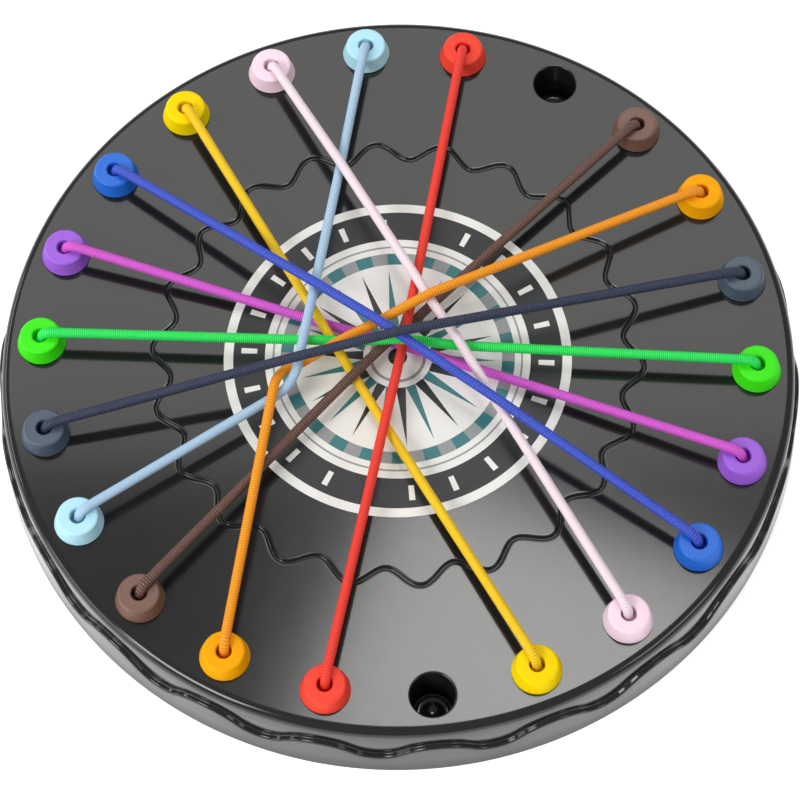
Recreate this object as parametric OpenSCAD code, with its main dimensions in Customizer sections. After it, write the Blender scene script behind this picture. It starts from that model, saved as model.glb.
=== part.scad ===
// Round cord-untangling board.
// A hollow black board carries a ring of 22 sockets. Twenty pegs stand in twenty of them, and each pair of
// pegs of one colour holds the two ends of an elastic cord. The cords cross over one another in the middle.
// Origin: centre of the underside. +Z is up, and the front empty socket is on the -Y side.

/* [Board] */
// Outer diameter at the foot of the skirt
board_d = 256; // [254:0.5:262]
// Height of the top face above the table
board_h = 25; // [25:0.5:32]
// Thickness of the top plate and of the skirt
wall_t = 2.4; // [2:0.1:2.6]
// Height of the round tops of the scalloped ledge above the table
ledge_h = 17.2; // [16:0.2:18]
// How far the ledge falls from its round tops to its round dips
scallop_fall = 7.3; // [5:0.1:8]

/* [Sockets] */
// Radius of the circle that the sockets stand on
station_r = 113; // [112.5:0.1:113.5]
// Bore of a socket
socket_d = 13.6; // [13.6:0.1:14]
// Depth of a socket below the top face
socket_depth = 17.5; // [15:0.5:17.5]

/* [Wavy groove] */
// Middle radius of the groove
groove_r = 74.8; // [70:0.1:78]
// How far each wave swings in and out
groove_swing = 3; // [2:0.1:3.5]
// Width of the groove
groove_w = 1.2; // [0.8:0.1:1.6]
// Depth of the groove
groove_depth = 0.8; // [0.5:0.1:1.2]

/* [Pegs] */
// Diameter of the head at its foot
peg_base_d = 15.4; // [15.2:0.1:16]
// Diameter of the head's flat top, with its rounded edge
peg_top_d = 11.9; // [11:0.1:12.5]
// Height of the head above the board
peg_head_h = 5.7; // [5.7:0.1:5.8]
// Cord hole through the head
peg_hole_d = 4.8; // [4.8:0.1:5.4]
// Diameter of the shank that stands in the socket
shank_d = 13; // [12.6:0.1:13]
// Length of the shank below the head
shank_l = 12; // [8:0.5:14]
// Bore of the hollow shank
shank_bore_d = 11; // [10:0.1:11]

/* [Cords] */
// Thickness of an elastic cord
cord_d = 3.1; // [2.9:0.1:3.1]
// Diameter of the stop knot inside a peg
knot_d = 8.4; // [7:0.1:9]
// Length of the stop knot inside a peg
knot_l = 6; // [4:0.5:8]

/* [Label] */
// Thickness of the printed label
label_t = 0.2; // [0.1:0.05:0.3]
// Diameter of the label
label_d = 110; // [90:1:130]

/* [Cover] */
// Thickness of the bottom cover
cover_t = 3; // [3:0.1:3.4]
// Radius of the circle of screws
screw_r = 88; // [80:1:92]
// Number of screws on that circle
screw_count = 6; // [3:1:8]

/* [Hidden] */
STATIONS = 22;
STATION_STEP = 360 / STATIONS;
EMPTY_STATIONS = [3, 12];
SMALL = 0.01;
$fn = 64;

// Outline of the board
upper_r = board_d / 2 - 2.3;
edge_round = 2.9;
skirt_top_r = board_d / 2 - 0.8;
ledge_bevel = 1.1;
cavity_r = upper_r - wall_t;

// Sockets
socket_wall = 1.8;
socket_floor = 2;
mouth_bevel = 0.6;
spigot_d = 10.2;
spigot_bore_d = 6.4;
spigot_h = 2.5;
foot_step = 0.4;

// Scallops: each round top and each round dip is a level cylinder that points at the board's axis
half_step = STATION_STEP / 2;
scallop_half_chord = skirt_top_r * sin(half_step);
// Share of each scallop that is round top, and the rest is round dip
hill_share = 0.575;
scallop_lean = 2 * atan(scallop_fall / scallop_half_chord);
hill_r = hill_share * scallop_half_chord / sin(scallop_lean);
dip_r = (1 - hill_share) * scallop_half_chord / sin(scallop_lean);
// Height at which a round top runs into a dip, with a narrow flat between them
scallop_join_h = ledge_h - hill_r * (1 - cos(scallop_lean)) + 0.3;

// Cover and screws
cover_z = 0.6;
cover_r = cavity_r - 0.3;
boss_d = 8;
pilot_d = 3;
screw_head_d = 5.8;
screw_head_h = 1.6;
screw_l = 12;
cross_w = 0.8;
cross_l = 3.2;

// Pegs, measured from the board's top face
peg_ceiling_h = 1.5;
peg_edge = 0.5;
hole_round = 0.9;
knot_gap = 0.1;

// Cords, measured from the board's top face
neck_shift = 0.4;
neck_bend_r = 3.4;
neck_bend_h = 4.4;
cord_sides = 8;
ring_pitch = 3 * cord_d;

// Each cord: name, first station, second station, peg colour, cord colour, bends, heights.
// Seen from above a cord runs straight from peg to peg, or by way of its bends, each [x, y].
// Heights are [distance along that run from the first peg, height of the cord's middle above the top face].
// The cords lie on one another from purple, the lowest, up to navy. Light blue and orange hook round each other.
CORDS = [
    ["light_blue", 1, 16, [0.51, 0.82, 0.96], [0.59, 0.77, 0.91],
        [[-32, -7], [-34, -10], [-36.5, -12.5], [-39.5, -14]],
        [[48, 7.4], [94, 10.4], [121, 12.5], [124, 11.9], [131, 9.4], [135, 8.5]]],
    ["red", 2, 13, [0.94, 0.22, 0.17], [0.88, 0.2, 0.18],
        [[1.5, -0.5]],
        [[89, 7.3], [104, 8.6], [110, 7.6], [112, 7.2], [139, 7.8]]],
    ["brown", 4, 15, [0.42, 0.29, 0.25], [0.32, 0.2, 0.18],
        [[-2.5, 3]],
        [[105, 4.5], [111, 5.7], [129, 7.3], [173, 7.4]]],
    ["orange", 5, 14, [1, 0.55, 0.06], [0.96, 0.55, 0.1],
        [[12, 14.5], [-33, -4.5], [-36.5, -6.5], [-38.5, -9], [-39.5, -12]],
        [[96, 14], [104, 13.2], [116, 11.7], [126, 11.8], [129, 11.4], [143, 8.8], [145, 8.9], [156, 12.1],
         [158, 12.2], [182, 11]]],
    ["navy", 6, 17, [0.23, 0.28, 0.35], [0.15, 0.18, 0.3],
        [[0, 0]],
        [[110, 17.9], [113, 18], [145, 16]]],
    ["green", 7, 18, [0.15, 0.8, 0.1], [0.06, 0.78, 0.35],
        [[0, 1]],
        [[94, 8.2], [110, 10.9], [113, 10.8], [117, 10], [128, 8.1], [142, 8.1]]],
    ["purple", 8, 19, [0.55, 0.28, 0.78], [0.75, 0.28, 0.8],
        [[1.5, 3]],
        [[112, 2.1], [141, 2.1]]],
    ["blue", 9, 20, [0.1, 0.36, 0.8], [0.16, 0.26, 0.75],
        [[0.5, 1]],
        [[75, 13.5], [112, 14.4], [121, 15.4], [146, 14]]],
    ["pink", 10, 22, [0.98, 0.72, 0.83], [0.97, 0.8, 0.87],
        [[15.5, 6]],
        [[78, 9.9], [102, 11.9], [107, 11.5], [120, 10.3], [129, 11], [177, 11]]],
    ["yellow", 11, 21, [1, 0.79, 0.05], [0.97, 0.74, 0.07],
        [],
        [[91, 4.2], [111, 3.7], [123, 4.5], [134, 5.7]]],
];

function peg_name(c, end) = str("peg_", c[0], "_", end);
function knot_name(c, end) = str("knot_", c[0], "_", end);
function cord_name(c) = str("cord_", c[0]);

// ---------------------------------------------------------------- places
// Station 1 is at the back, on +Y, and the numbers run clockwise seen from above.
function station_angle(s) = 90 - (s - 1) * STATION_STEP;
function station_point(s) = station_r * [cos(station_angle(s)), sin(station_angle(s))];

module at_station(s) {
    rotate([0, 0, station_angle(s)])
        translate([station_r, 0, 0])
            children();
}

module at_screws() {
    for (i = [0 : screw_count - 1])
        rotate([0, 0, (i + 0.5) * 360 / screw_count])
            translate([screw_r, 0, 0])
                children();
}

// ---------------------------------------------------------------- board shell
// Half section of a quarter-round edge: points from the wall's top round to the flat
function edge_points(r, top, round_r) = [
    for (a = [0 : 15 : 90]) [r - round_r + round_r * cos(a), top - round_r + round_r * sin(a)]
];

module upper_body() {
    rotate_extrude($fn = 180)
        polygon(concat([[0, 0], [upper_r, 0]], edge_points(upper_r, board_h, edge_round), [[0, board_h]]));
}

module cavity() {
    translate([0, 0, -SMALL])
        cylinder(r = cavity_r, h = board_h - wall_t + SMALL, $fn = 180);
}

// Ring that stands out round the lower wall, before its top is scalloped
module skirt_band() {
    rotate_extrude($fn = 180)
        polygon([
            [cavity_r, 0], [board_d / 2 - 0.4, 0], [board_d / 2, 0.4], [skirt_top_r, ledge_h - ledge_bevel],
            [skirt_top_r - ledge_bevel, ledge_h], [cavity_r, ledge_h],
        ]);
}

// Cylinder that lies along a radius, through the ring
module scallop_roll(angle, height, r) {
    rotate([0, 0, angle])
        translate([cavity_r - 5, 0, height])
            rotate([0, 90, 0])
                cylinder(r = r, h = 20, $fn = 180);
}

// Everything under the ledge's wave: a round top at each station and a round dip between two stations
module scallop_wave() {
    difference() {
        union() {
            for (s = [1 : STATIONS])
                scallop_roll(station_angle(s), ledge_h - hill_r, hill_r);
            cylinder(r = board_d / 2 + 1, h = scallop_join_h);
        }
        for (s = [1 : STATIONS])
            scallop_roll(station_angle(s) + half_step, ledge_h - scallop_fall + dip_r, dip_r);
    }
}

// One arc of the groove, open towards +X, centred on a radius and swung to both sides
module groove_arc(centre_r, arc_r, half_angle) {
    translate([centre_r, 0, board_h - groove_depth])
        rotate([0, 0, -half_angle])
            rotate_extrude(angle = 2 * half_angle)
                translate([arc_r - groove_w / 2, 0])
                    square([groove_w, groove_depth + 1]);
}

// Each wave is one arc bowed outwards at a station and one bowed inwards between two stations
module wavy_groove() {
    quarter = STATION_STEP / 4;
    bow = (pow(groove_r * sin(quarter), 2) + pow(groove_swing, 2)) / (2 * groove_swing);
    rise = groove_r * sin(quarter);
    out_c = groove_r + groove_swing - bow;
    in_c = groove_r - groove_swing + bow;
    out_x = groove_r * cos(quarter) - out_c;
    in_x = in_c - groove_r * cos(quarter);
    for (s = [1 : STATIONS])
        rotate([0, 0, station_angle(s)]) {
            groove_arc(out_c, norm([out_x, rise]), atan2(rise, out_x));
            rotate([0, 0, half_step])
                translate([in_c, 0, 0])
                    rotate([0, 0, 180])
                        groove_arc(0, norm([in_x, rise]), atan2(rise, in_x));
        }
}

module socket_wells() {
    for (s = [1 : STATIONS])
        at_station(s)
            translate([0, 0, board_h - socket_depth - socket_floor])
                cylinder(d = socket_d + 2 * socket_wall, h = socket_depth + socket_floor - wall_t / 2);
}

module socket_bores() {
    for (s = [1 : STATIONS])
        at_station(s) {
            translate([0, 0, board_h - socket_depth])
                cylinder(d = socket_d - foot_step, h = spigot_h + SMALL);
            translate([0, 0, board_h - socket_depth + spigot_h])
                cylinder(d = socket_d, h = socket_depth - spigot_h + 1);
            translate([0, 0, board_h - mouth_bevel])
                cylinder(d1 = socket_d, d2 = socket_d + 2 * mouth_bevel, h = mouth_bevel + SMALL);
        }
}

// Low round spigot on the floor of each socket
module socket_spigots() {
    for (s = [1 : STATIONS])
        at_station(s)
            translate([0, 0, board_h - socket_depth - SMALL])
                difference() {
                    cylinder(d = spigot_d, h = spigot_h + SMALL);
                    translate([0, 0, SMALL])
                        cylinder(d = spigot_bore_d, h = spigot_h + 1);
                }
}

module screw_bosses() {
    at_screws()
        translate([0, 0, cover_z + cover_t])
            cylinder(d = boss_d, h = board_h - wall_t / 2 - cover_z - cover_t);
}

module pilot_holes() {
    at_screws()
        cylinder(d = pilot_d, h = cover_z + screw_head_h + screw_l + 1);
}

module board_shell() {
    color([0.06, 0.06, 0.07]) {
        difference() {
            union() {
                difference() {
                    union() {
                        upper_body();
                        intersection() {
                            skirt_band();
                            scallop_wave();
                        }
                    }
                    cavity();
                }
                socket_wells();
                screw_bosses();
            }
            socket_bores();
            wavy_groove();
            pilot_holes();
        }
        socket_spigots();
    }
}

// ---------------------------------------------------------------- cover and screws
module base_cover() {
    color([0.1, 0.1, 0.11])
        translate([0, 0, cover_z])
            difference() {
                cylinder(r = cover_r, h = cover_t, $fn = 180);
                at_screws() {
                    translate([0, 0, -1])
                        cylinder(d = pilot_d + 0.4, h = cover_t + 2);
                    translate([0, 0, -1])
                        cylinder(d = screw_head_d + 0.6, h = screw_head_h + 1);
                }
            }
}

module cover_screws() {
    color([0.7, 0.71, 0.73])
        at_screws()
            translate([0, 0, cover_z])
                difference() {
                    union() {
                        cylinder(d = screw_head_d, h = screw_head_h);
                        cylinder(d = pilot_d, h = screw_head_h + screw_l);
                    }
                    for (turn = [0, 90])
                        rotate([0, 0, turn])
                            translate([-cross_l / 2, -cross_w / 2, -1])
                                cube([cross_l, cross_w, 1.8]);
                }
}

// ---------------------------------------------------------------- label
// Plain round film on the middle of the top face
module centre_label() {
    color([0.9, 0.9, 0.88])
        translate([0, 0, board_h])
            cylinder(d = label_d, h = label_t);
}

// ---------------------------------------------------------------- pegs and knots
// Hollow peg: a blunt cone for the head, a straight shank, and a rounded cord hole through the top
module peg_body(paint) {
    base_r = peg_base_d / 2;
    top_r = peg_top_d / 2;
    hole_r = peg_hole_d / 2;
    bore_r = shank_bore_d / 2;
    color(paint)
        translate([0, 0, board_h])
            rotate_extrude()
                polygon(concat(
                    [
                        [bore_r, -shank_l], [shank_d / 2 - 0.4, -shank_l], [shank_d / 2, 0.4 - shank_l],
                        [shank_d / 2, 0], [base_r - 0.2, 0], [base_r, 0.3],
                    ],
                    [for (a = [0 : 30 : 90])
                        [top_r - peg_edge + peg_edge * cos(a), peg_head_h - peg_edge + peg_edge * sin(a)]],
                    [for (a = [90 : 15 : 180])
                        [hole_r + hole_round + hole_round * cos(a),
                         peg_head_h - hole_round + hole_round * sin(a)]],
                    [[hole_r, peg_ceiling_h], [bore_r - 0.6, peg_ceiling_h], [bore_r, peg_ceiling_h - 0.6]]
                ));
}

module peg(c, end) {
    at_station(c[end])
        peg_body(c[3]);
}

// Stop knot, drawn up under the peg's ceiling by the pull of its cord
module knot(c, end) {
    r = knot_d / 2;
    color(c[4])
        at_station(c[end])
            translate([0, 0, board_h + peg_ceiling_h - knot_gap - knot_l])
                rotate_extrude($fn = 48)
                    polygon([
                        [0, 0], [0.45 * r, 0], [0.85 * r, 0.15 * knot_l], [r, 0.4 * knot_l],
                        [r, 0.6 * knot_l], [0.85 * r, 0.85 * knot_l], [0.55 * r, knot_l], [0, knot_l],
                    ]);
}

// ---------------------------------------------------------------- cords
function unit(v) = v / norm(v);
function flat(v) = [v.x, v.y];
function last(list) = list[len(list) - 1];
function reversed(list) = [for (i = [len(list) - 1 : -1 : 0]) list[i]];

// The run seen from above, its length up to each bend, and a place on it
function run(c) = concat([station_point(c[1])], c[5], [station_point(c[2])]);
function run_length(points, i) = i == 0 ? 0 : run_length(points, i - 1) + norm(points[i] - points[i - 1]);
function marks(points) = [for (i = [0 : len(points) - 1]) run_length(points, i)];
function along(points, marks, axis, s) = lookup(s, [for (i = [0 : len(points) - 1]) [marks[i], points[i][axis]]]);

// The cord rises through the peg's hole and bends over its rounded edge towards the next point
function neck_points(s, toward) =
    let (
        foot = station_point(s),
        lean = unit(toward - foot),
        low = foot + neck_shift * lean
    )
    concat(
        [[low.x, low.y, peg_ceiling_h - knot_gap]],
        [for (a = [0 : 22.5 : 67.5])
            let (p = foot + (neck_shift + neck_bend_r * (1 - cos(a))) * lean)
            [p.x, p.y, neck_bend_h + neck_bend_r * sin(a)]]
    );

// The cord's middle line: neck, run over the other cords, neck
function route(c) =
    let (
        points = run(c),
        at = marks(points),
        start = neck_shift + neck_bend_r,
        end = last(at) - start,
        exit_h = neck_bend_h + neck_bend_r,
        heights = concat([[start, exit_h]], c[6], [[end, exit_h]]),
        stops = [
            for (i = [0 : len(heights) - 2])
                for (s = concat([heights[i][0]],
                    [for (bend = at) if (bend > heights[i][0] && bend < heights[i + 1][0]) bend])) s
        ]
    )
    concat(
        neck_points(c[1], points[1]),
        [for (s = concat(stops, [end])) [along(points, at, 0, s), along(points, at, 1, s), lookup(s, heights)]],
        reversed(neck_points(c[2], points[len(points) - 2]))
    );

// The same line with its long straights divided, so that rings follow one another every few diameters
function divided(points) = concat(
    [for (i = [0 : len(points) - 2])
        let (steps = max(1, ceil(norm(points[i + 1] - points[i]) / ring_pitch)))
        for (k = [0 : steps - 1]) points[i] + (points[i + 1] - points[i]) * k / steps],
    [last(points)]
);

function heading(points, i) =
    i == 0 ? unit(points[1] - points[0]) :
    i == len(points) - 1 ? unit(points[i] - points[i - 1]) :
    unit(unit(points[i + 1] - points[i]) + unit(points[i] - points[i - 1]));

// Level direction across the cord; where the cord stands upright it is taken from the neighbouring run
function across(h, fallback) =
    let (level = norm(flat(h)) > 0.01 ? unit(flat(h)) : fallback)
    [-level.y, level.x, 0];

function ring_points(p, h, side) =
    let (over = cross(h, side))
    [for (k = [0 : cord_sides - 1])
        p + cord_d / 2 * (cos(k * 360 / cord_sides) * side + sin(k * 360 / cord_sides) * over)];

module swept_cord(points) {
    count = len(points);
    first_run = unit(flat(points[6] - points[0]));
    last_run = unit(flat(points[count - 1] - points[count - 7]));
    corners = [
        for (i = [0 : count - 1])
            let (h = heading(points, i))
            for (p = ring_points(points[i], h, across(h, i < count / 2 ? first_run : last_run))) p
    ];
    walls = [
        for (i = [0 : count - 2])
            for (k = [0 : cord_sides - 1])
                let (a = i * cord_sides, next = (k + 1) % cord_sides)
                [a + k, a + cord_sides + k, a + cord_sides + next, a + next]
    ];
    start_cap = [for (k = [0 : cord_sides - 1]) k];
    end_cap = [for (k = [cord_sides - 1 : -1 : 0]) (count - 1) * cord_sides + k];
    polyhedron(points = corners, faces = concat([start_cap], walls, [end_cap]));
}

module cord(c) {
    color(c[4])
        translate([0, 0, board_h])
            swept_cord(divided(route(c)));
}

board_shell();
base_cover();
cover_screws();
centre_label();
for (c = CORDS) {
    for (end = [1, 2]) {
        peg(c, end);
        knot(c, end);
    }
    cord(c);
}
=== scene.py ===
"""Looks of the cord-untangling board, in the CAD's own frame. Lengths are in millimetres until times MM."""

import math

import bmesh
import bpy
import numpy as np
from mathutils import Matrix, Vector


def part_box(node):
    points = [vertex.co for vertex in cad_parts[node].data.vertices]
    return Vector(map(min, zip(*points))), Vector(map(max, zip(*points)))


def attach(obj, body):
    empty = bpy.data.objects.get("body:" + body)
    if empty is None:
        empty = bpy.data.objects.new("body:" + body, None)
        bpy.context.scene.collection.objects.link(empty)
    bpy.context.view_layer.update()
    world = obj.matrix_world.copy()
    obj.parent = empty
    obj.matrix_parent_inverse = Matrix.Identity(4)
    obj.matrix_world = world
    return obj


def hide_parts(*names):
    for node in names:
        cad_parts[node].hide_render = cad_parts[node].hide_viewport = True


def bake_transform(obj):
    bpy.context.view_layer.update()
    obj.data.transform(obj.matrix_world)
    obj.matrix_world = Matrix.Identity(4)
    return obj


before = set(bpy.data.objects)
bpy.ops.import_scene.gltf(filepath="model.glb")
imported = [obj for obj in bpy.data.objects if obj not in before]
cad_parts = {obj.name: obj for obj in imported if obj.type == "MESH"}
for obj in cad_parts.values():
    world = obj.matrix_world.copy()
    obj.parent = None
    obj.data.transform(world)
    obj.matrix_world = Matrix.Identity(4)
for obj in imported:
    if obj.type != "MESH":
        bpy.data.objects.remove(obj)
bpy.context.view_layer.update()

MM = 0.001
STATIONS = 22
STEP = 2 * math.pi / STATIONS
HALF = STEP / 2
STATION_R = 113.0
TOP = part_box("board_shell")[1][2] / MM  # height of the board's top face

# ---------------------------------------------------------------- camera
# It looks at the middle of the top face from the front, high up. DISTANCE is in millimetres.
EL, AZ, ROLL = math.radians(63.85), math.radians(-3.759), math.radians(-1.728)
DISTANCE = 918.1
back = Vector((math.sin(AZ) * math.cos(EL), -math.cos(AZ) * math.cos(EL), math.sin(EL)))
level = (-back).cross(Vector((0, 0, 1))).normalized()
rise = level.cross(-back)
right = math.cos(ROLL) * level + math.sin(ROLL) * rise
up = -math.sin(ROLL) * level + math.cos(ROLL) * rise
lens = bpy.data.cameras.new("camera")
lens.sensor_width = 36.0
lens.lens = 130.77
lens.shift_x, lens.shift_y = 0.0029, -0.0538
lens.clip_start, lens.clip_end = 0.01, 50
camera = bpy.data.objects.new("camera", lens)
camera.matrix_world = Matrix.Translation((Vector((0, 0, TOP)) + back * DISTANCE) * MM) @ Matrix(
    (right, up, back)
).transposed().to_4x4()
bpy.context.collection.objects.link(camera)
bpy.context.scene.camera = camera
bpy.context.scene.view_settings.view_transform = "Standard"
bpy.context.scene.view_settings.look = "None"


# ---------------------------------------------------------------- node helpers
def srgb(*rgb):
    """A colour as a linear value, from its 0 to 255 screen value."""
    out = [c / 255 / 12.92 if c / 255 <= 0.04045 else ((c / 255 + 0.055) / 1.055) ** 2.4 for c in rgb]
    return (*out, 1.0)


def mixed(a, b, t):
    return tuple(x + (y - x) * t for x, y in zip(a, b))


class Nodes:
    """A material's node tree, with short calls that each return the new node's first output."""

    def __init__(self, name):
        self.material = bpy.data.materials.new(name)
        self.material.use_nodes = True
        self.tree = self.material.node_tree
        self.shader = self.tree.nodes["Principled BSDF"]

    def add(self, kind, inputs=(), out=0, **settings):
        node = self.tree.nodes.new(kind)
        for key, value in settings.items():
            setattr(node, key, value)
        for key, value in dict(inputs).items():
            self.put(node.inputs[key], value)
        return node.outputs[out]

    def put(self, socket, value):
        if isinstance(value, bpy.types.NodeSocket):
            self.tree.links.new(value, socket)
        else:
            socket.default_value = value

    def math(self, operation, a, b=0.0, c=0.0):
        return self.add("ShaderNodeMath", {0: a, 1: b, 2: c}, operation=operation)

    def ramp(self, factor, low, high):
        """factor stretched so that low becomes 0 and high becomes 1."""
        return self.add("ShaderNodeMapRange", {0: factor, 1: low, 2: high, 3: 0.0, 4: 1.0})

    def blend(self, factor, a, b):
        node = self.tree.nodes.new("ShaderNodeMix")
        node.data_type = "RGBA"
        self.put(node.inputs[0], factor)
        self.put(node.inputs[6], a)
        self.put(node.inputs[7], b)
        return node.outputs[2]

    def place(self):
        return self.add("ShaderNodeTexCoord", out=3)

    def noise(self, scale, detail=2.0, vector=None):
        return self.add(
            "ShaderNodeTexNoise", {"Vector": vector or self.place(), "Scale": scale, "Detail": detail}
        )

    def finish(self, colour=None, roughness=None, height=None, bump=0.2, depth=0.0001, **fixed):
        if colour is not None:
            self.put(self.shader.inputs["Base Color"], colour)
        if roughness is not None:
            self.put(self.shader.inputs["Roughness"], roughness)
        if height is not None:
            normal = self.add("ShaderNodeBump", {"Strength": bump, "Distance": depth, "Height": height})
            self.put(self.shader.inputs["Normal"], normal)
        for key, value in fixed.items():
            self.shader.inputs[key.replace("_", " ")].default_value = value
        return self.material


def plastic(name, colour, rough=0.38, mottle=0.06, grain=0.08, gloss=0.5):
    """Moulded plastic: a faint flow mottle, patchy gloss and a very fine grain."""
    n = Nodes(name)
    flow = n.ramp(n.noise(45.0, 3.0), 0.3, 0.7)
    dark = tuple(c * (1 - mottle) for c in colour[:3]) + (1.0,)
    patches = n.ramp(n.noise(160.0, 2.0), 0.2, 0.8)
    roughness = n.math("MULTIPLY_ADD", patches, 0.15 * rough, rough * 0.95)
    return n.finish(
        n.blend(flow, dark, colour), roughness, n.noise(2600.0, 2.0), grain, 0.00006, Specular_IOR_Level=gloss
    )


def braid(name, colour, pitch=0.85, contrast=0.3, highlight_share=0.1):
    """A braided elastic's sheath. UV runs once round the cord in U, and along it in millimetres in V."""
    n = Nodes(name)
    uv = n.add("ShaderNodeUVMap", uv_map="UVMap")
    split = n.tree.nodes.new("ShaderNodeSeparateXYZ")
    n.put(split.inputs[0], uv)
    around, along = split.outputs[0], split.outputs[1]
    zigzag = n.math("PINGPONG", n.math("MULTIPLY", around, 12.0), 1.0)
    waver = n.math("MULTIPLY", n.noise(500.0, 2.0), 0.2)
    phase = n.math("ADD", n.math("MULTIPLY", along, 1 / pitch), n.math("MULTIPLY", zigzag, 0.2))
    turns = n.math("MULTIPLY", n.math("ADD", phase, waver), 2 * math.pi)
    stitch = n.math("MULTIPLY_ADD", n.math("SINE", turns), 0.5, 0.5)
    column = n.math("MULTIPLY", n.math("SUBTRACT", 1.0, zigzag), zigzag)
    fibre = n.noise(6000.0, 3.0)
    height = n.math("MULTIPLY_ADD", fibre, 0.3, n.math("ADD", stitch, column))
    # Painted shade: the low parts of the stitches are drawn darker than the cord's colour, by contrast.
    valley_shade = tuple(c * (1 - contrast) for c in colour[:3]) + (1.0,)
    # Painted highlight: the highest stitches and columns are mixed toward white, more on darker cords.
    crest_highlight = mixed(colour, (1, 1, 1, 1), highlight_share)
    shade = n.ramp(stitch, 0.0, 0.7)
    highlight_mask = n.math("MULTIPLY", n.ramp(fibre, 0.4, 0.65), n.ramp(n.math("ADD", stitch, column), 0.55, 1.1))
    return n.finish(
        n.blend(highlight_mask, n.blend(shade, valley_shade, colour), crest_highlight), n.math("MULTIPLY_ADD", shade, -0.1, 0.62),
        height, 0.5, 0.0001, Specular_IOR_Level=0.3,
    )


def woven_knot(name, colour):
    """The same sheath drawn tight into a knot, where the ribs run every way."""
    n = Nodes(name)
    wave = {"Vector": n.place(), "Scale": 380.0, "Distortion": 6.0, "Detail": 2.0}
    ribs = n.add("ShaderNodeTexWave", wave, out=1)
    # Painted shade: the valleys between the ribs are drawn at 0.6 of the cord's colour.
    valley_shade = tuple(c * 0.6 for c in colour[:3]) + (1.0,)
    return n.finish(n.blend(ribs, valley_shade, colour), 0.7, ribs, 0.5, 0.0001, Specular_IOR_Level=0.3)


def plain_steel(name):
    """Turned steel: fine brushing that runs one way, and patchy polish."""
    n = Nodes(name)
    brushed = n.add("ShaderNodeMapping", {"Vector": n.place(), "Scale": (1.0, 1.0, 12.0)})
    lines = n.ramp(n.noise(1400.0, 3.0, brushed), 0.3, 0.7)
    roughness = n.math("MULTIPLY_ADD", lines, 0.12, 0.26)
    tone = n.blend(lines, (0.46, 0.46, 0.48, 1.0), (0.62, 0.62, 0.64, 1.0))
    return n.finish(tone, roughness, lines, 0.1, 0.00002, Metallic=1.0)


def print_ink(name, colour, rough=0.35):
    """Printed film: a fine halftone-like speckle and slightly patchy gloss."""
    n = Nodes(name)
    speck = n.ramp(n.noise(3000.0, 2.0), 0.35, 0.65)
    dark = tuple(c * 0.93 for c in colour[:3]) + (1.0,)
    gloss = n.math("MULTIPLY_ADD", n.noise(120.0, 2.0), 0.12, rough - 0.06)
    return n.finish(
        n.blend(speck, dark, colour), gloss, n.noise(900.0, 2.0), 0.04, 0.00004, Specular_IOR_Level=0.25
    )


# ---------------------------------------------------------------- mesh helpers
def new_object(name, points, faces, material, smooth=40.0):
    """Mesh object from points in millimetres, with edges sharper than smooth degrees kept crisp."""
    mesh = bpy.data.meshes.new(name)
    mesh.from_pydata([tuple(p) for p in np.asarray(points, float) * MM], [], [tuple(f) for f in faces])
    mesh.materials.append(material)
    obj = bpy.data.objects.new(name, mesh)
    bpy.context.collection.objects.link(obj)
    b = bmesh.new()
    b.from_mesh(mesh)
    bmesh.ops.remove_doubles(b, verts=b.verts, dist=2e-6)
    bmesh.ops.recalc_face_normals(b, faces=b.faces)
    b.to_mesh(mesh)
    b.free()
    mesh.polygons.foreach_set("use_smooth", [True] * len(mesh.polygons))
    mesh.set_sharp_from_angle(angle=math.radians(smooth))
    return obj


class Grid:
    """Collects points and quads of several patches into one mesh."""

    def __init__(self):
        self.points, self.faces, self.count = [], [], 0

    def add(self, rows, closed=False):
        """rows: array of rows by columns by 3. closed joins the last column to the first."""
        rows = np.asarray(rows, float)
        r, c = rows.shape[:2]
        i, j = np.meshgrid(np.arange(r - 1), np.arange(c if closed else c - 1), indexing="ij")
        k = (j + 1) % c
        base = self.count
        quads = np.stack([i * c + j, i * c + k, (i + 1) * c + k, (i + 1) * c + j], -1).reshape(-1, 4) + base
        self.points.append(rows.reshape(-1, 3))
        self.faces += quads.tolist()
        self.count += r * c

    def fan(self, ring, tip):
        ring = np.asarray(ring, float)
        n, base = len(ring), self.count
        self.points += [ring, np.asarray([tip], float)]
        self.faces += [[base + j, base + (j + 1) % n, base + n] for j in range(n)]
        self.count += n + 1

    def build(self, name, material, smooth=40.0):
        return new_object(name, np.vstack(self.points), self.faces, material, smooth)


def polar(r, angle, z):
    return np.stack(np.broadcast_arrays(r * np.cos(angle), r * np.sin(angle), z), -1)


def lathe(profile, centre=(0.0, 0.0), sides=72):
    """Rows of points for a profile [(r, z), ...] turned round a vertical line."""
    angle = np.linspace(0, 2 * math.pi, sides, endpoint=False)
    return np.array([polar(r, angle, z) + (*centre, 0.0) for r, z in profile])


def arc(cx, cz, r, start, stop, steps, rz=None):
    """Profile points on an arc; angles in degrees."""
    return [
        (cx + r * math.cos(math.radians(a)), cz + (rz or r) * math.sin(math.radians(a)))
        for a in np.linspace(start, stop, steps + 1)
    ]


def station_angle(s):
    return math.pi / 2 - (s - 1) * STEP


def station_point(s):
    return STATION_R * np.array([math.cos(station_angle(s)), math.sin(station_angle(s))])


def dress(node, material):
    """Gives a piece that stays as the CAD made it its material."""
    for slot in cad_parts[node].material_slots:
        slot.material = material


# ---------------------------------------------------------------- board
ARC_STEPS, SIDE_STEPS = 32, 12
SECTOR_OUT, SECTOR_IN = 122.1, 98.0  # radii between which each socket has its own sector of the top face
MIDDLE_R = 64.0  # radius of the plain middle, inside the groove
LEDGE_R, LEDGE_TOP = 127.2, -7.8  # radius of the ledge, and its highest line from the top face
LEDGE_FALL, HILL_SHARE = 7.3, 0.575
GROOVE_R, GROOVE_SWING = 74.8, 3.0
RING_ANGLES = np.linspace(0, 2 * math.pi, STATIONS * ARC_STEPS, endpoint=False) + station_angle(1) - HALF


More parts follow.
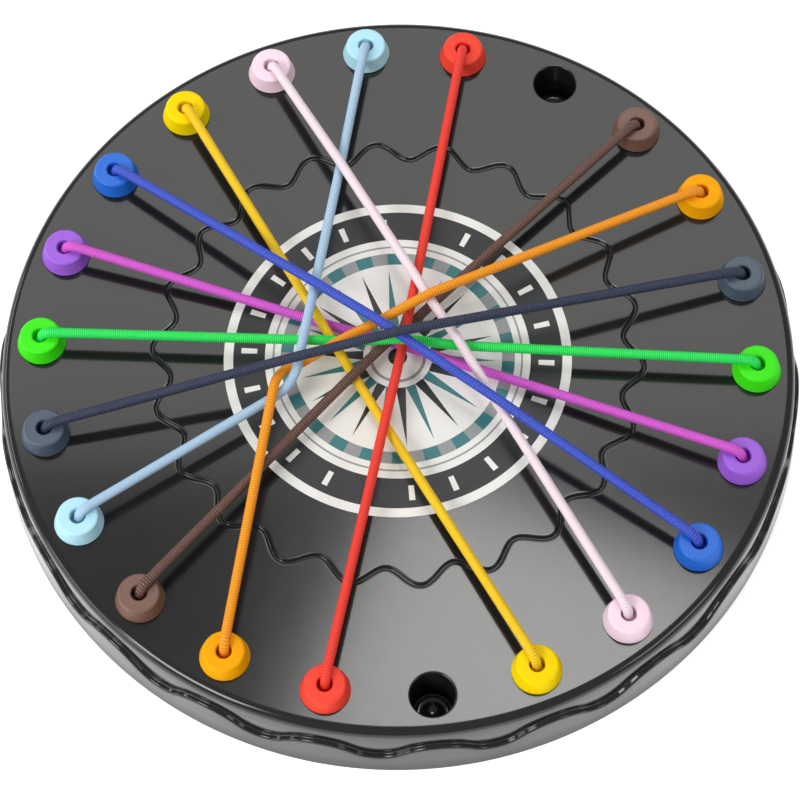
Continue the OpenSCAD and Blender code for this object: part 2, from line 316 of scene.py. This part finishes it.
def ledge_height(angle):
    """Height of the ledge's inner corner over the top face: round tops at the stations, dips between."""
    chord = LEDGE_R * math.sin(HALF)
    lean = 2 * math.atan(LEDGE_FALL / chord)
    hill_r, dip_r = (part * chord / math.sin(lean) for part in (HILL_SHARE, 1 - HILL_SHARE))
    y = LEDGE_R * np.abs(np.sin((angle - station_angle(1) + HALF) % STEP - HALF))
    hill = hill_r - np.sqrt(np.maximum(hill_r**2 - y**2, 0))
    dip = LEDGE_FALL - dip_r + np.sqrt(np.maximum(dip_r**2 - (chord - y) ** 2, 0))
    return LEDGE_TOP - np.where(y < hill_r * math.sin(lean), hill, dip)


def rim_rows():
    """The board's edge, wall, scalloped ledge, skirt and foot, as rows down the outside."""
    z = ledge_height(RING_ANGLES)
    rows = [(122.1, 0 * z), (122.5, 0 * z)]
    rows += [(r, h + 0 * z) for r, h in arc(122.5, -2.9, 2.9, 90, 0, 10)[1:]]
    rows += [(125.5, -3.6 + 0 * z), (125.6, 0.5 * (z + 0.9 - 3.6)), (125.68, z + 0.9), (125.7, z + 0.5)]
    rows += [(r, z + h) for r, h in arc(126.2, 0.5, 0.5, 180, 270, 6)[1:]]
    rows += [(r, z + h) for r, h in arc(126.45, -0.92, 0.9, 90, 6, 9)]
    rows += [(127.4, z - 1.7), (127.55, 0.5 * (z - 1.7 - 23)), (127.9, -24.2 + 0 * z)]
    rows += [(r, h + 0 * z) for r, h in arc(127.4, -24.45, 0.55, 0, -90, 4)]
    rows += [(123.7, -25 + 0 * z), (123.3, -24.8 + 0 * z), (123.3, -19 + 0 * z)]
    return np.array([polar(r, RING_ANGLES, h + TOP) for r, h in rows])


# Section of the groove: distance out from its middle line, and height from the top face
GROOVE = [
    (-1.3, 0), (-0.85, 0), (-0.72, -0.05), (-0.6, -0.2), (-0.48, -0.5), (-0.28, -0.74), (0, -0.82),
    (0.28, -0.74), (0.48, -0.5), (0.6, -0.2), (0.72, -0.05), (0.85, 0), (1.3, 0),
]


def groove_rows():
    """The wavy groove, as rows from its inner to its outer side."""
    radius = GROOVE_R + GROOVE_SWING * np.cos(STATIONS * (RING_ANGLES - station_angle(1)))
    slope = -GROOVE_SWING * STATIONS * np.sin(STATIONS * (RING_ANGLES - station_angle(1))) / radius
    turn = RING_ANGLES - np.arctan(slope)
    centre = polar(radius, RING_ANGLES, TOP)
    return np.array([centre + polar(o, turn, h) for o, h in GROOVE])


def sector_edge():
    """Outline of one socket's sector of the top face, in its own frame, round the socket."""
    swing = np.linspace(-HALF, HALF, ARC_STEPS + 1)
    drop = np.linspace(SECTOR_OUT, SECTOR_IN, SIDE_STEPS + 1)[1:-1]
    parts = [
        np.stack([SECTOR_OUT * np.cos(swing), SECTOR_OUT * np.sin(swing)], -1),
        np.stack([drop * math.cos(HALF), drop * math.sin(HALF)], -1),
        np.stack([SECTOR_IN * np.cos(swing[::-1]), SECTOR_IN * np.sin(swing[::-1])], -1),
        np.stack([drop[::-1] * math.cos(HALF), -drop[::-1] * math.sin(HALF)], -1),
    ]
    return np.vstack(parts)


# Section of a socket: radius and height from the top face, down the wall and over the ring on its floor
WELL = (
    [(7.75, 0.0), (7.4, 0.0)]
    + arc(7.4, -0.6, 0.6, 90, 180, 6)[1:]
    + [(6.8, -1.4), (6.8, -14.9), (6.6, -15.1), (6.6, -17.1)]
    + arc(6.2, -17.1, 0.4, 0, -90, 3)
    + [(5.5, -17.5), (5.1, -17.4), (5.1, -15.4)]
    + arc(4.8, -15.3, 0.3, 0, 80, 3)
    + [(3.6, -15.27), (3.3, -15.4), (2.6, -15.9), (1.7, -16.3), (0.8, -16.5)]
)


def board_mesh(material):
    """The whole board: rim, top face with its groove, and the sockets, each inside its own sector."""
    g = Grid()
    g.add(rim_rows(), closed=True)
    groove = groove_rows()
    outer = polar(SECTOR_IN, RING_ANGLES, TOP)
    inner = polar(MIDDLE_R, RING_ANGLES, TOP)
    g.add([groove[-1] + (outer - groove[-1]) * t for t in (0, 0.3, 0.65, 1)], closed=True)
    g.add(groove, closed=True)
    g.add([inner + (groove[0] - inner) * t for t in (0, 0.5, 1)], closed=True)
    g.fan(inner, (0, 0, TOP))
    edge = sector_edge()
    spoke = edge - (STATION_R, 0)
    spoke /= np.linalg.norm(spoke, axis=1)[:, None]
    for s in range(1, STATIONS + 1):
        a = station_angle(s)
        turn = np.array([[math.cos(a), math.sin(a)], [-math.sin(a), math.cos(a)]])
        rows = [edge] + [np.array((STATION_R, 0)) + spoke * r for r, _ in WELL]
        heights = [0.0] + [h for _, h in WELL]
        rows = [np.column_stack([row @ turn, np.full(len(row), TOP + h)]) for row, h in zip(rows, heights)]
        g.add(rows, closed=True)
        g.fan(rows[-1], (*(np.array((STATION_R, 0)) @ turn), TOP - 16.55))
    return g.build("board_top", material, 50.0)


board_black = plastic("board_plastic", (0.0125, 0.0125, 0.013, 1.0), rough=0.12, mottle=0.15, grain=0.02)
board = board_mesh(board_black)
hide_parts("board_shell")
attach(board, "board")

# ---------------------------------------------------------------- pegs and cords
# name, first station, second station, peg colour and gloss, cord colour, rib pitch and share of painted
# highlight on the rib tops, bends [x, y], heights [run, height]
CORDS = [
    ("light_blue", 1, 16, (186, 236, 252), 0.25, (172, 208, 238), 0.58, 0.4,
     [(-32, -7), (-34, -10), (-36.5, -12.5), (-39.5, -14)],
     [(48, 7.4), (94, 10.4), (121, 12.5), (124, 11.9), (131, 9.4), (135, 8.5)]),
    ("red", 2, 13, (250, 72, 54), 0.2, (248, 60, 44), 0.7, 0.05,
     [(1.5, -0.5)],
     [(89, 7.3), (104, 8.6), (110, 7.6), (112, 7.2), (139, 7.8)]),
    ("brown", 4, 15, (118, 84, 70), 0.6, (96, 62, 50), 0.8, 0.2,
     [(-2.5, 3)],
     [(105, 4.5), (111, 5.7), (129, 7.3), (173, 7.4)]),
    ("orange", 5, 14, (253, 172, 4), 0.08, (255, 158, 8), 0.85, 0.06,
     [(12, 14.5), (-33, -4.5), (-36.5, -6.5), (-38.5, -9), (-39.5, -12)],
     [(96, 14), (104, 13.2), (116, 11.7), (126, 11.8), (129, 11.4), (143, 8.8), (145, 8.9), (156, 12.1),
      (158, 12.2), (182, 11)]),
    ("navy", 6, 17, (70, 86, 102), 0.6, (34, 44, 74), 0.7, 0.12,
     [(0, 0)],
     [(110, 17.9), (113, 18), (145, 16)]),
    ("green", 7, 18, (64, 240, 22), 0.2, (8, 236, 88), 0.65, 0.14,
     [(0, 1)],
     [(94, 8.2), (110, 10.9), (113, 10.8), (117, 10), (128, 8.1), (142, 8.1)]),
    ("purple", 8, 19, (162, 98, 224), 0.35, (218, 84, 214), 0.7, 0.12,
     [(1.5, 3)],
     [(112, 2.1), (141, 2.1)]),
    ("blue", 9, 20, (28, 108, 216), 0.45, (38, 72, 202), 0.75, 0.2,
     [(0.5, 1)],
     [(75, 13.5), (112, 14.4), (121, 15.4), (146, 14)]),
    ("pink", 10, 22, (254, 224, 240), 0.2, (254, 232, 242), 0.65, 0.3,
     [(15.5, 6)],
     [(78, 9.9), (102, 11.9), (107, 11.5), (120, 10.3), (129, 11), (177, 11)]),
    ("yellow", 11, 21, (255, 220, 0), 0.08, (255, 208, 0), 0.7, 0.06,
     [],
     [(91, 4.2), (111, 3.7), (123, 4.5), (134, 5.7)]),
]
CORD_D = 3.1
# The neck, where a cord leaves its peg: a straight rise, then a quarter turn over the edge of the hole
NECK_SHIFT, NECK_R, NECK_H, NECK_FOOT = 0.4, 3.4, 4.4, 1.4
SIDES = 16  # of a cord's tube


def smoothed(points, width):
    """Points evened along the line, with a Gaussian of that width in samples and both ends kept."""
    reach = int(3 * width)
    kernel = np.exp(-0.5 * (np.arange(-reach, reach + 1) / width) ** 2)
    kernel /= kernel.sum()
    first, last = points[0], points[-1]
    padded = np.vstack([2 * first - points[reach:0:-1], points, 2 * last - points[-2:-reach - 2:-1]])
    return np.stack([np.convolve(padded[:, k], kernel, "valid") for k in range(3)], -1)


def resampled(points, step):
    """Points evenly spaced along the line, about step apart."""
    run = np.concatenate([[0], np.cumsum(np.linalg.norm(np.diff(points, axis=0), axis=1))])
    at = np.linspace(0, run[-1], max(2, int(round(run[-1] / step)) + 1))
    return np.stack([np.interp(at, run, points[:, k]) for k in range(3)], -1)


def neck(foot, toward):
    """The cord's middle line from inside its peg, up through the hole and over toward the next point."""
    lean = (np.array(toward) - foot) / np.linalg.norm(np.array(toward) - foot)
    out = [(*(foot + NECK_SHIFT * lean), NECK_FOOT)]
    for a in np.radians(np.linspace(0, 90, 13)):
        p = foot + (NECK_SHIFT + NECK_R * (1 - math.cos(a))) * lean
        out.append((*p, NECK_H + NECK_R * math.sin(a)))
    return np.array(out)


def cord_line(first, second, bends, heights):
    """The cord's middle line, from the knot in one peg to the knot in the other."""
    plan = np.array([station_point(first), *bends, station_point(second)])
    run = np.concatenate([[0], np.cumsum(np.linalg.norm(np.diff(plan, axis=0), axis=1))])
    start, end = NECK_SHIFT + NECK_R, run[-1] - NECK_SHIFT - NECK_R
    table = [(start, NECK_H + NECK_R), *heights, (end, NECK_H + NECK_R)]
    at = np.arange(start, end, 0.25)[1:]
    middle = np.stack(
        [np.interp(at, run, plan[:, 0]), np.interp(at, run, plan[:, 1]),
         np.interp(at, [t[0] for t in table], [t[1] for t in table])], -1
    )
    line = np.vstack([neck(plan[0], plan[1]), middle, neck(plan[-1], plan[-2])[::-1]])
    line = smoothed(resampled(line, 0.2), 5)
    line[:, 2] += TOP
    return resampled(line, 0.55)


def tube(name, line, first_run, material):
    """Closed tube round a line, with UV once round in U and the length in millimetres in V."""
    n = len(line)
    tangent = np.gradient(line, axis=0)
    tangent /= np.linalg.norm(tangent, axis=1)[:, None]
    flat = tangent[:, :2].copy()
    size = np.linalg.norm(flat, axis=1)
    good = np.flatnonzero(size > 0.25)
    for k in range(2):
        flat[:, k] = np.interp(np.arange(n), good, flat[good, k] / size[good])
    flat /= np.linalg.norm(flat, axis=1)[:, None]
    side = np.column_stack([-flat[:, 1], flat[:, 0], np.zeros(n)])
    over = np.cross(tangent, side)
    over /= np.linalg.norm(over, axis=1)[:, None]
    angle = np.linspace(0, 2 * math.pi, SIDES, endpoint=False)
    radius = CORD_D / 2
    rings = (line[:, None] + radius * (np.cos(angle)[None, :, None] * side[:, None]
             + np.sin(angle)[None, :, None] * over[:, None]))
    points = np.vstack([rings.reshape(-1, 3), line[:1], line[-1:]])
    length = first_run + np.concatenate([[0], np.cumsum(np.linalg.norm(np.diff(line, axis=0), axis=1))])
    faces, uvs = [], []
    for i in range(n - 1):
        for k in range(SIDES):
            q = (k + 1) % SIDES
            faces.append((i * SIDES + k, i * SIDES + q, (i + 1) * SIDES + q, (i + 1) * SIDES + k))
            u0, u1, v0, v1 = k / SIDES, (k + 1) / SIDES, length[i], length[i + 1]
            uvs += [(u0, v0), (u1, v0), (u1, v1), (u0, v1)]
    for k in range(SIDES):
        q = (k + 1) % SIDES
        faces.append((q, k, n * SIDES))
        faces.append(((n - 1) * SIDES + k, (n - 1) * SIDES + q, n * SIDES + 1))
        uvs += [(q / SIDES, length[0])] * 3 + [(q / SIDES, length[-1])] * 3
    mesh = bpy.data.meshes.new(name)
    mesh.from_pydata([tuple(p) for p in points * MM], [], faces)
    layer = mesh.uv_layers.new(name="UVMap")
    layer.data.foreach_set("uv", np.array(uvs, float).ravel())
    mesh.materials.append(material)
    mesh.polygons.foreach_set("use_smooth", [True] * len(mesh.polygons))
    mesh.set_sharp_from_angle(angle=math.radians(60))
    obj = bpy.data.objects.new(name, mesh)
    bpy.context.collection.objects.link(obj)
    return obj


def outermost_crossing(line, others):
    """How far along the line, in samples, the first other cord passes over or under it."""
    for i in range(20, len(line)):
        for other in others:
            if np.min(np.linalg.norm(other[:, :2] - line[i, :2], axis=1)) < 0.4:
                return i
    return len(line) // 2


lines = {
    name: cord_line(first, second, bends, heights)
    for name, first, second, _, _, _, _, _, bends, heights in CORDS
}
# Section of a peg: radius and height from the top face, from the shank's inner foot up the outside,
# down through the cord hole and back along the inside
PEG = (
    [(5.5, -12.0)]
    + [(6.1, -12.0)] + arc(6.1, -11.6, 0.4, -90, 0, 3)[1:]
    + [(6.5, -0.3), (6.6, 0.0), (7.1, 0.0), (7.15, 0.25), (7.5, 0.28), (7.68, 0.36), (7.7, 0.46), (7.5, 0.8),
       (7.42, 1.1), (7.05, 2.5), (6.7, 3.75), (6.52, 4.4)]
    + arc(5.6, 4.75, 0.9, 10, 90, 7, 0.95)
    + [(4.6, 5.7), (3.4, 5.7)]
    + arc(2.95, 5.15, 0.55, 90, 180, 5)
    + [(2.4, 1.6), (2.55, 1.5), (4.9, 1.5)]
    + arc(4.9, 0.9, 0.6, 90, 0, 3)[1:]
    + [(5.5, 0.4)]
)

for name, first, second, peg_rgb, gloss, cord_rgb, pitch, highlight_share, bends, heights in CORDS:
    peg_material = plastic("peg_" + name, srgb(*peg_rgb), rough=0.45, gloss=gloss)
    cord_material = braid("cord_" + name, srgb(*cord_rgb), pitch, highlight_share=highlight_share)
    knot_material = woven_knot("knot_" + name, srgb(*cord_rgb))
    for end, station in ((1, first), (2, second)):
        node = f"{name}_{end}"
        g = Grid()
        rows = lathe([(r, z + TOP) for r, z in PEG], station_point(station))
        g.add(np.concatenate([rows, rows[:1]]), closed=True)
        peg = g.build("head_" + node, peg_material, 50.0)
        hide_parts("peg_" + node)
        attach(peg, "turn_" + node)
        dress("knot_" + node, knot_material)
    line = lines[name]
    others = [l for k, l in lines.items() if k != name]
    middle = len(line) // 2
    halves = ((1, line[: middle + 1]), (2, line[::-1][: len(line) - middle]))
    total = np.linalg.norm(np.diff(line, axis=0), axis=1).sum()
    for end, half in halves:
        node = f"{name}_{end}"
        clear = outermost_crossing(half, others)
        run = np.linalg.norm(np.diff(half, axis=0), axis=1).sum()
        shown = half if end == 1 else half[::-1]
        piece = tube("elastic_" + node, shown, 0.0 if end == 1 else total - run, cord_material)
        start, stop = half[max(clear - 8, 30)].copy(), half[14].copy()
        start[2] = stop[2] = TOP
        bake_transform(piece)
        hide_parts("cord_" + name)

# ---------------------------------------------------------------- cover and screws
dress("base_cover", plastic("cover_plastic", (0.02, 0.02, 0.021, 1.0), rough=0.5, mottle=0.15, grain=0.2))
dress("cover_screws", plain_steel("screw_steel"))

# ---------------------------------------------------------------- label
# A plain round dial of rings, ticks and wedges, one to each socket, with no lettering
INKS = {
    "white": print_ink("label_white", srgb(240, 240, 236)),
    "charcoal": print_ink("label_charcoal", srgb(46, 48, 50)),
    "grey": print_ink("label_grey", srgb(152, 156, 158)),
    "teal": print_ink("label_teal", srgb(58, 124, 128)),
}
LABEL_R = (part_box("centre_label")[1][0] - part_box("centre_label")[0][0]) / 2 / MM
GROUND, RINGS, MARKS = 0.12, 0.14, 0.16  # heights of the inks above the top face
FULL_TURN = 2 * math.pi
TICK_HALF = math.radians(1.1)
HUB_R = 11.0  # where the wedges start


class Print:
    """Flat inked shapes, a little above the board's top face, gathered in one mesh."""

    def __init__(self):
        self.points, self.faces, self.inks = [], [], []
        self.order = list(INKS)

    def face(self, corners, ink):
        base = len(self.points)
        self.points += [tuple(corner) for corner in corners]
        self.faces.append(list(range(base, base + len(corners))))
        self.inks.append(self.order.index(ink))

    def disc(self, radius, ink, lift):
        turn = np.linspace(0, 2 * math.pi, 180, endpoint=False)
        self.face(polar(radius, turn, TOP + lift), ink)

    def sector(self, inner, outer, start, stop, ink, lift):
        """Part of a ring between two radii and two angles."""
        turns = np.linspace(start, stop, math.ceil((stop - start) / math.radians(2)) + 1)
        for a, b in zip(turns, turns[1:]):
            corners = ((inner, a), (outer, a), (outer, b), (inner, b))
            self.face([polar(r, turn, TOP + lift) for r, turn in corners], ink)

    def edge(self, radius, lift, ink):
        """The film's own thin edge, down to the board."""
        turns = np.linspace(0, 2 * math.pi, 181)
        for a, b in zip(turns, turns[1:]):
            corners = ((a, 0), (b, 0), (b, lift), (a, lift))
            self.face([polar(radius, turn, TOP + z) for turn, z in corners], ink)

    def build(self, name):
        mesh = bpy.data.meshes.new(name)
        mesh.from_pydata([tuple(p) for p in np.array(self.points) * MM], [], self.faces)
        for ink in self.order:
            mesh.materials.append(INKS[ink])
        mesh.polygons.foreach_set("material_index", self.inks)
        obj = bpy.data.objects.new(name, mesh)
        bpy.context.collection.objects.link(obj)
        return obj


def printed_label():
    """White film with a dark ring of ticks, a ring of blocks, and wedges round a plain hub."""
    label = Print()
    label.edge(LABEL_R, GROUND, "white")
    label.disc(LABEL_R, "white", GROUND)
    label.sector(LABEL_R - 13, LABEL_R - 3, 0, FULL_TURN, "charcoal", RINGS)
    label.sector(LABEL_R - 16, LABEL_R - 15.4, 0, FULL_TURN, "grey", RINGS)
    label.sector(8, 9, 0, FULL_TURN, "grey", RINGS)
    label.disc(3, "charcoal", RINGS)
    for s in range(1, STATIONS + 1):
        angle = station_angle(s)
        label.sector(LABEL_R - 10.5, LABEL_R - 5.5, angle - TICK_HALF, angle + TICK_HALF, "white", MARKS)
        label.sector(LABEL_R - 22, LABEL_R - 18, angle - HALF, angle, "teal", RINGS)
        label.sector(LABEL_R - 22, LABEL_R - 18, angle, angle + HALF, "grey", RINGS)
        wedge = [polar(HUB_R, angle - HALF, TOP + RINGS), polar(LABEL_R - 24, angle, TOP + RINGS),
                 polar(HUB_R, angle + HALF, TOP + RINGS)]
        label.face(wedge, "teal" if s % 2 else "charcoal")
    return label.build("label_print")


label = printed_label()
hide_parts("centre_label")
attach(label, "board")

# ---------------------------------------------------------------- light and floor
floor_nodes = Nodes("floor")
floor_material = floor_nodes.finish(
    floor_nodes.blend(floor_nodes.noise(3.0), (0.86, 0.86, 0.86, 1), (0.9, 0.9, 0.9, 1)), 0.8
)
floor_nodes.shader.inputs["Emission Color"].default_value = (1, 1, 1, 1)
floor_nodes.shader.inputs["Emission Strength"].default_value = 0.65
floor = new_object("floor", [(-4000, -4000, 0), (4000, -4000, 0), (4000, 4000, 0), (-4000, 4000, 0)],
                   [(0, 1, 2, 3)], floor_material)


def softbox(name, at, aim, width, depth, radiance, turn=0.0):
    """Rectangular light; its radiance is that of its lit face."""
    lamp = bpy.data.lights.new(name, "AREA")
    lamp.shape = "RECTANGLE"
    lamp.size, lamp.size_y = width, depth
    lamp.energy = radiance * width * depth * math.pi
    lamp.color = (1.0, 0.995, 0.975)
    obj = bpy.data.objects.new(name, lamp)
    facing = (Vector(aim) - Vector(at)).to_track_quat("-Z", "Y").to_matrix().to_4x4()
    obj.matrix_world = Matrix.Translation(at) @ facing @ Matrix.Rotation(math.radians(turn), 4, "Z")
    bpy.context.collection.objects.link(obj)


# name, place, aim, width and depth in metres, radiance
softbox("key_left", (-1.05, -0.75, 1.15), (0, 0, 0), 0.7, 0.6, 10.0)
softbox("fill_right", (1.2, -0.8, 1.0), (0, 0, 0), 0.6, 0.5, 3.2)
softbox("rim_left", (-1.3, 0.65, 0.55), (0, 0, 0), 0.9, 0.25, 4.5)
softbox("side_left", (-1.3, -0.4, 0.4), (0, 0, 0), 0.7, 0.35, 3.5)
softbox("back_panel", (0.04, 0.81, 1.22), (0.04, 0.81, 0), 1.1, 0.62, 2.05, turn=-6)
softbox("patch", (0.11, 0.315, 1.22), (0.11, 0.315, 0), 0.29, 0.25, 8.8, turn=-28)
world = bpy.data.worlds.new("studio")
bpy.context.scene.world = world
world.use_nodes = True
world.node_tree.nodes["Background"].inputs[0].default_value = (1.0, 1.0, 1.0, 1)
world.node_tree.nodes["Background"].inputs[1].default_value = 0.4
